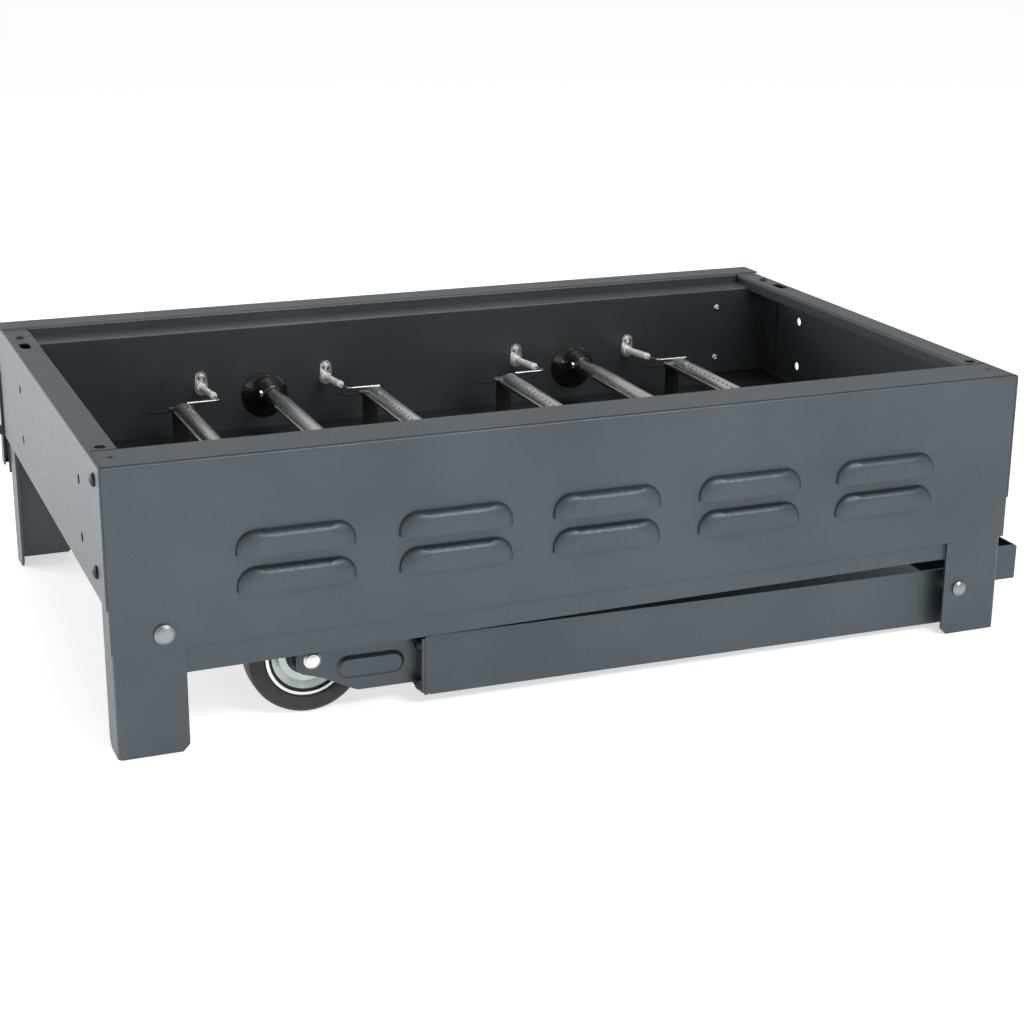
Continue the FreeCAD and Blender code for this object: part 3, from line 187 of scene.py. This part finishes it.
def zinc_plate(name, color, roughness):
    """Plated metal: faint spangle, soft mottling and small handling marks."""
    skin = Surface(name, color, roughness, 1.0)
    spangle = skin.cells(420.0)
    mottle = skin.noise(60.0, 4.0, 0.6)
    marks = skin.ramp(skin.noise(330.0, 5.0, 0.7), 0.60, 0.72)
    tone = skin.mix(skin.ramp(mottle, 0.35, 0.65), shade(color, 0.82), color)
    skin.drive("Base Color", skin.mix(skin.math("MULTIPLY", marks, 0.35), tone, shade(color, 0.6)))
    skin.drive("Roughness", skin.ramp(mottle, 0.3, 0.7, roughness * 0.8, roughness * 1.3))
    skin.drive("Normal", skin.bump(spangle, 0.03 * MM, 0.5))
    return skin.material


def wheel_disc(name, color, hub_shadow_color, axle, hub_shadow_radius, groove):
    """Zinc-plated disc by axle distance: painted hub shadow, plated disc, painted groove shade, painted
    lip highlight.
    """
    skin = Surface(name, color, 0.30, 1.0)
    offset = skin.add("ShaderNodeVectorMath", operation="SUBTRACT")
    skin.link(skin.coords, offset.inputs[0])
    offset.inputs[1].default_value = axle
    across_axle = skin.add("ShaderNodeVectorMath", operation="MULTIPLY")
    skin.link(offset.outputs["Vector"], across_axle.inputs[0])
    across_axle.inputs[1].default_value = (1.0, 0.0, 1.0)
    reach = skin.add("ShaderNodeVectorMath", operation="LENGTH")
    skin.link(across_axle.outputs["Vector"], reach.inputs[0])
    away = reach.outputs["Value"]

    # each mask goes from 0 to 1 within this distance of its circle
    edge = 0.2 * MM
    groove_inner, groove_outer = groove
    # the disc mask is 0 in the painted shadow over the hub and 1 on the plated disc
    disc = skin.ramp(away, hub_shadow_radius - edge, hub_shadow_radius + edge)
    past_inner = skin.ramp(away, groove_inner - edge, groove_inner + edge)
    inside_outer = skin.ramp(away, groove_outer - edge, groove_outer + edge, 1.0, 0.0)
    # mask of the painted shade in the groove just inside the lip
    groove_shade = skin.math("MULTIPLY", past_inner, inside_outer)
    # mask of the painted highlight on the lip
    lip_highlight = skin.ramp(away, groove_outer - edge, groove_outer + edge)

    mottle = skin.noise(60.0, 4.0, 0.6)
    tone = skin.mix(skin.ramp(mottle, 0.35, 0.65), shade(color, 0.82), color)
    # painted highlight: the lip is painted near-white
    tone = skin.mix(lip_highlight, tone, (0.92, 0.93, 0.94))
    # painted shade: the groove is painted near-black
    tone = skin.mix(groove_shade, tone, (0.03, 0.035, 0.035))
    # painted shadow: near-black and non-metallic over the hub, where the fork's boss shades it
    skin.drive("Base Color", skin.mix(disc, hub_shadow_color, tone))
    skin.drive("Metallic", disc)
    hub_dulling = skin.ramp(disc, 0.0, 1.0, 0.12, 0.0)
    skin.drive("Roughness", skin.math("ADD", skin.ramp(mottle, 0.3, 0.7, 0.22, 0.36), hub_dulling))
    skin.drive("Normal", skin.bump(mottle, 0.1 * MM, 0.3))
    return skin.material


def black_oxide(name):
    """Blackened steel screws, slightly worn to grey."""
    color = (0.020, 0.020, 0.021)
    skin = Surface(name, color, 0.38, 0.7)
    wear = skin.noise(420.0, 4.0, 0.6)
    skin.drive("Base Color", skin.mix(skin.ramp(wear, 0.50, 0.72), color, (0.075, 0.075, 0.078)))
    skin.drive("Roughness", skin.ramp(wear, 0.3, 0.7, 0.30, 0.48))
    skin.drive("Normal", skin.bump(wear, 0.04 * MM, 0.5))
    return skin.material


def moulded_plastic(name, color, roughness):
    """Satin moulded plastic with a fine spark-eroded grain."""
    skin = Surface(name, color, roughness, 0.0, IOR=1.5)
    grain = skin.noise(2600.0, 2.0, 0.5)
    wear = skin.noise(40.0, 4.0, 0.6)
    worn = tuple(channel * 1.5 + 0.004 for channel in color)
    skin.drive("Base Color", skin.mix(skin.ramp(wear, 0.4, 0.7), color, worn))
    skin.drive("Roughness", skin.ramp(wear, 0.35, 0.65, roughness * 0.85, roughness * 1.2))
    skin.drive("Normal", skin.bump(grain, 0.04 * MM, 0.5))
    return skin.material


def tyre_rubber(name):
    """Solid black rubber, dusty on the tread, with fine moulding grain."""
    color = (0.016, 0.016, 0.017)
    skin = Surface(name, color, 0.62, 0.0)
    dust = skin.noise(70.0, 5.0, 0.65)
    grain = skin.noise(1800.0, 2.0, 0.5)
    skin.drive("Base Color", skin.mix(skin.ramp(dust, 0.45, 0.75), color, (0.045, 0.043, 0.040)))
    skin.drive("Roughness", skin.ramp(dust, 0.3, 0.7, 0.50, 0.75))
    skin.drive("Normal", skin.bump(grain, 0.06 * MM, 0.5))
    return skin.material


def black_enamel(name):
    """Thick glossy black enamel with a slightly wavy skin."""
    color = (0.006, 0.006, 0.007)
    skin = Surface(name, color, 0.10, 0.0, Coat_Weight=1.0, Coat_Roughness=0.04)
    waves = skin.noise(160.0, 2.0, 0.4)
    skin.drive("Base Color", skin.mix(skin.ramp(waves, 0.4, 0.7), color, (0.016, 0.015, 0.015)))
    skin.drive("Roughness", skin.ramp(waves, 0.3, 0.7, 0.07, 0.16))
    skin.drive("Normal", skin.bump(waves, 0.3 * MM, 0.5))
    return skin.material


def glazed_ceramic(name):
    """White glazed alumina, faintly warm, with a few specks of soot."""
    color = (0.93, 0.93, 0.92)
    skin = Surface(name, color, 0.16, 0.0, Subsurface_Weight=0.15, Subsurface_Scale=2.0 * MM,
                   Coat_Weight=0.6, Coat_Roughness=0.08)
    specks = skin.ramp(skin.noise(700.0, 3.0, 0.6), 0.68, 0.76)
    cloud = skin.noise(90.0, 3.0, 0.5)
    tone = skin.mix(skin.ramp(cloud, 0.35, 0.65), color, (0.88, 0.88, 0.86))
    skin.drive("Base Color", skin.mix(skin.math("MULTIPLY", specks, 0.2), tone, (0.30, 0.28, 0.25)))
    skin.drive("Roughness", skin.ramp(cloud, 0.3, 0.7, 0.12, 0.24))
    skin.drive("Normal", skin.bump(cloud, 0.1 * MM, 0.3))
    return skin.material


def machined_brass(name):
    """Turned brass with fine tool lines and brown tarnish."""
    color = (0.66, 0.47, 0.20)
    skin = Surface(name, color, 0.28, 1.0)
    turning = skin.noise(1100.0, 2.0, 0.5, (1.0, 0.05, 1.0))
    tarnish = skin.noise(55.0, 4.0, 0.6)
    skin.drive("Base Color", skin.mix(skin.ramp(tarnish, 0.4, 0.7), color, (0.40, 0.25, 0.10)))
    skin.drive("Roughness", skin.ramp(turning, 0.3, 0.7, 0.22, 0.42))
    skin.drive("Normal", skin.bump(turning, 0.03 * MM, 0.6))
    return skin.material


def silicone_sleeve(name):
    """Dark red silicone sleeve of an ignition lead, grimy in patches."""
    color = (0.32, 0.045, 0.03)
    skin = Surface(name, color, 0.48, 0.0)
    grime = skin.noise(80.0, 4.0, 0.6)
    skin.drive("Base Color", skin.mix(skin.ramp(grime, 0.45, 0.7), color, (0.16, 0.03, 0.025)))
    skin.drive("Roughness", skin.ramp(grime, 0.3, 0.7, 0.40, 0.60))
    skin.drive("Normal", skin.bump(skin.noise(900.0, 2.0, 0.5), 0.04 * MM, 0.4))
    return skin.material


def axle_centre(node):
    """The axle's place in the wheel's own coordinates, which its material sees."""
    low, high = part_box(node)
    return nodes[node].matrix_world.inverted() @ ((low + high) / 2)


ALONG_X, ALONG_Y = 0, 1
paint = powder_coat("powder_coat", (0.083, 0.099, 0.111), (0.24, 0.27, 0.29))
# painted shade: a darker copy of the powder coat for the pan and end supports deep in the firebox
shaded_paint = powder_coat("shaded_coat", (0.036, 0.040, 0.040), (0.08, 0.09, 0.09))
stainless = drawn_stainless("stainless", (0.74, 0.75, 0.76), ALONG_Y, (0.60, 0.58, 0.56))
stainless_cross = drawn_stainless("stainless_cross", (0.66, 0.67, 0.68), ALONG_X,
                                  (0.54, 0.52, 0.50))
zinc = zinc_plate("zinc_plate", (0.72, 0.72, 0.71), 0.24)
# the wheel disc paints a shadow over the hub, shade in the groove and a highlight on the lip
rim_zinc = wheel_disc("wheel_disc", (0.47, 0.52, 0.51), hub_shadow_color=(0.012, 0.012, 0.013),
                      axle=axle_centre("rear_wheel_rim"), hub_shadow_radius=18.8 * MM,
                      groove=(31.5 * MM, 33.8 * MM))
dull_zinc = zinc_plate("dull_zinc", (0.34, 0.35, 0.36), 0.40)
bright_plate = zinc_plate("bright_plate", (0.90, 0.90, 0.90), 0.30)
oxide = black_oxide("black_oxide")
chrome = zinc_plate("chrome_trim", (0.80, 0.80, 0.81), 0.08)
rubber = tyre_rubber("tyre_rubber")
plastic = moulded_plastic("black_plastic", (0.014, 0.014, 0.015), 0.42)
enamel = black_enamel("black_enamel")
ceramic = glazed_ceramic("glazed_ceramic")
brass = machined_brass("machined_brass")
silicone = silicone_sleeve("silicone_sleeve")

LOOKS = {
    paint: ("rear_panel", "left_side_panel", "right_side_panel", "front_sill", "burner_wall",
            "control_fascia", "rear_left_foot", "rear_right_foot", "front_left_foot",
            "front_right_foot", "left_leg_rear_rail", "left_leg_front_rail", "left_leg_cross_tube",
            "right_leg_rear_rail", "right_leg_front_rail", "right_leg_end_plates", "right_leg_necks",
            "right_leg_stop_channel", "right_leg_axle_brace", "castor_forks"),
    # the pan and end supports get the painted-shade copy of the coat
    shaded_paint: ("base_pan", "burner_end_supports"),
    stainless: ("left_burner_port_tubes", "right_burner_port_tubes", "left_burner_mixing_tube",
                "right_burner_mixing_tube", "header_saddles", "spark_electrodes",
                "left_air_shutter", "right_air_shutter"),
    stainless_cross: ("left_burner_header", "right_burner_header", "gas_manifold"),
    zinc: ("right_hinge_spacers", "bell_clamp_screws", "castor_axle_sleeves"),
    dull_zinc: ("leg_hinge_bolts",),
    bright_plate: ("electrode_tabs", "wall_screws", "castor_axle_bolts"),
    oxide: ("panel_screws", "castor_bolts"),
    rim_zinc: ("rear_wheel_rim", "front_wheel_rim"),
    chrome: ("knob_bezels",),
    rubber: ("rear_tyre", "front_tyre"),
    plastic: ("left_leg_end_plugs", "spark_generator", "ignition_switch", "ignition_button",
              "left_knob", "right_knob"),
    enamel: ("burner_bells",),
    ceramic: ("electrode_ceramics",),
    brass: ("gas_valves", "injectors", "gas_inlet"),
    silicone: ("ignition_leads",),
}


def dress(node, material):
    """The material in every slot of the node, or in a new slot where it has none."""
    obj = nodes[node]
    if not obj.material_slots:
        obj.data.materials.append(material)
    for slot in obj.material_slots:
        slot.material = material


for material, names in LOOKS.items():
    for name in names:
        dress(name, material)

# ---- bell mouths --------------------------------------------------------------------------


def add_bells():
    """Two enamelled bell mouths, each flaring off-centre from the mixing tube to the wall."""
    low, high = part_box("burner_bells")
    tube_low, tube_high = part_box("left_burner_mixing_tube")
    mouth_radius = 24.0 * MM
    mouth_z = low.z + mouth_radius
    rise = (tube_low.z + tube_high.z) / 2 - mouth_z
    # distance from the wall and radius in mm, outside towards the neck, then back through the bore
    profile = [(0.0, 24.0), (1.2, 24.2), (2.2, 23.9), (3.0, 23.0), (4.5, 21.2), (6.5, 19.0),
               (9.0, 16.6), (12.0, 14.2), (15.0, 12.2), (18.0, 10.6), (21.0, 9.6), (25.0, 9.2),
               (31.8, 9.2), (32.8, 8.4), (32.8, 6.2), (16.0, 6.3), (12.0, 9.5), (6.0, 14.8),
               (2.0, 18.6), (0.0, 20.2)]
    # the rings climb from the mouth's height to the tube's between these distances from the wall
    climb_start, climb_end = 2.5, 20.0
    segments = 72
    turns = [2 * math.pi * i / segments for i in range(segments)]
    build = bmesh.new()
    for x in (low.x + mouth_radius, high.x - mouth_radius):
        rings = []
        for away, radius in profile:
            share = min(max((away - climb_start) / (climb_end - climb_start), 0.0), 1.0)
            y = high.y - away * MM
            z = mouth_z + rise * share * share * (3.0 - 2.0 * share)
            rings.append([build.verts.new((x + radius * MM * math.cos(turn), y,
                                           z + radius * MM * math.sin(turn)))
                          for turn in turns])
        for inner, outer in zip(rings, rings[1:] + rings[:1]):
            for i in range(segments):
                j = (i + 1) % segments
                build.faces.new((inner[i], inner[j], outer[j], outer[i]))
    bmesh.ops.recalc_face_normals(build, faces=build.faces)
    for face in build.faces:
        face.smooth = True
    mesh = bpy.data.meshes.new("bell_mouths")
    build.to_mesh(mesh)
    build.free()
    bells = bpy.data.objects.new("bell_mouths", mesh)
    bpy.context.scene.collection.objects.link(bells)
    mesh.materials.append(enamel)
    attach(bells, "firebox")
    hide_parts("burner_bells")


add_bells()

# ---- studio -------------------------------------------------------------------------------


def middle():
    """The point on the floor under the middle of the firebox."""
    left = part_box("left_side_panel")
    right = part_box("right_side_panel")
    return Vector(((left[0].x + right[1].x) / 2, (left[0].y + left[1].y) / 2, 0.0))


def add_floor():
    """A wide floor that glows a little, so that it stays white up to the horizon."""
    half_side = 30.0
    gap = 0.2 * MM
    mesh = bpy.data.meshes.new("floor")
    build = bmesh.new()
    bmesh.ops.create_grid(build, x_segments=8, y_segments=8, size=half_side)
    build.to_mesh(mesh)
    build.free()
    floor = bpy.data.objects.new("floor", mesh)
    floor.location = (0.0, 0.0, -gap)
    bpy.context.scene.collection.objects.link(floor)
    skin = Surface("floor", (0.90, 0.90, 0.90), 0.6)
    skin.set("Emission Color", (1.0, 1.0, 1.0, 1.0))
    skin.set("Emission Strength", 0.58)
    patches = skin.noise(3.0, 2.0, 0.5)
    skin.drive("Base Color", skin.mix(patches, (0.89, 0.89, 0.89), (0.92, 0.92, 0.92)))
    mesh.materials.append(skin.material)


def add_world(horizon, zenith):
    """White studio walls of one strength up to 20 degrees, fading to another above 49 degrees."""
    fade_start, fade_end = 0.35, 0.75
    world = bpy.data.worlds.new("studio")
    bpy.context.scene.world = world
    world.use_nodes = True
    tree = world.node_tree
    sky = tree.nodes["Background"]
    sky.inputs["Color"].default_value = (1.0, 1.0, 1.0, 1.0)
    coords = tree.nodes.new("ShaderNodeTexCoord")
    split = tree.nodes.new("ShaderNodeSeparateXYZ")
    fade = tree.nodes.new("ShaderNodeMapRange")
    for socket, value in (("From Min", fade_start), ("From Max", fade_end),
                          ("To Min", horizon), ("To Max", zenith)):
        fade.inputs[socket].default_value = value
    tree.links.new(coords.outputs["Generated"], split.inputs["Vector"])
    tree.links.new(split.outputs["Z"], fade.inputs["Value"])
    tree.links.new(fade.outputs["Result"], sky.inputs["Strength"])


def add_softbox(name, place, target, width, height, power):
    """A rectangular light that faces its target. Both points are measured from under the firebox."""
    centre = middle()
    place, target = centre + Vector(place), centre + Vector(target)
    light = bpy.data.lights.new(name, "AREA")
    light.shape = "RECTANGLE"
    light.size = width
    light.size_y = height
    light.energy = power
    obj = bpy.data.objects.new(name, light)
    obj.location = place
    obj.rotation_euler = (target - place).to_track_quat("-Z", "Y").to_euler()
    bpy.context.scene.collection.objects.link(obj)


def add_camera():
    """Camera behind the louvred panel and left of its middle, looking down at 18 degrees."""
    yaw, pitch, roll = math.radians(21.91), math.radians(18.11), math.radians(0.38)
    place = middle() + Vector((-0.6763, -1.7547, 0.6973))
    ahead = Vector((math.sin(yaw) * math.cos(pitch), math.cos(yaw) * math.cos(pitch),
                    -math.sin(pitch)))
    level = ahead.cross(Vector((0, 0, 1))).normalized()
    upright = level.cross(ahead)
    right = level * math.cos(roll) + upright * math.sin(roll)
    top = upright * math.cos(roll) - level * math.sin(roll)
    camera = bpy.data.cameras.new("camera")
    camera.lens = 70.49
    camera.sensor_width = 36.0
    camera.clip_start = 0.05
    camera.clip_end = 100.0
    obj = bpy.data.objects.new("camera", camera)
    obj.matrix_world = Matrix.Translation(place) @ Matrix((right, top, -ahead)).transposed().to_4x4()
    bpy.context.scene.collection.objects.link(obj)
    bpy.context.scene.camera = obj


add_floor()
add_world(horizon=0.72, zenith=0.26)
add_softbox("left_box", (-2.0, 0.9, 0.50), (-0.4, 0.0, 0.18), width=1.8, height=0.7, power=27.0)
add_softbox("top_box", (0.2, 0.9, 2.4), (0.0, 0.0, 0.1), width=2.0, height=0.8, power=14.0)
add_softbox("front_box", (0.7, -2.0, 1.9), (0.1, -0.2, 0.15), width=1.6, height=0.8, power=34.0)
add_camera()
view = bpy.context.scene.view_settings
view.view_transform = "Standard"
view.look = "None"
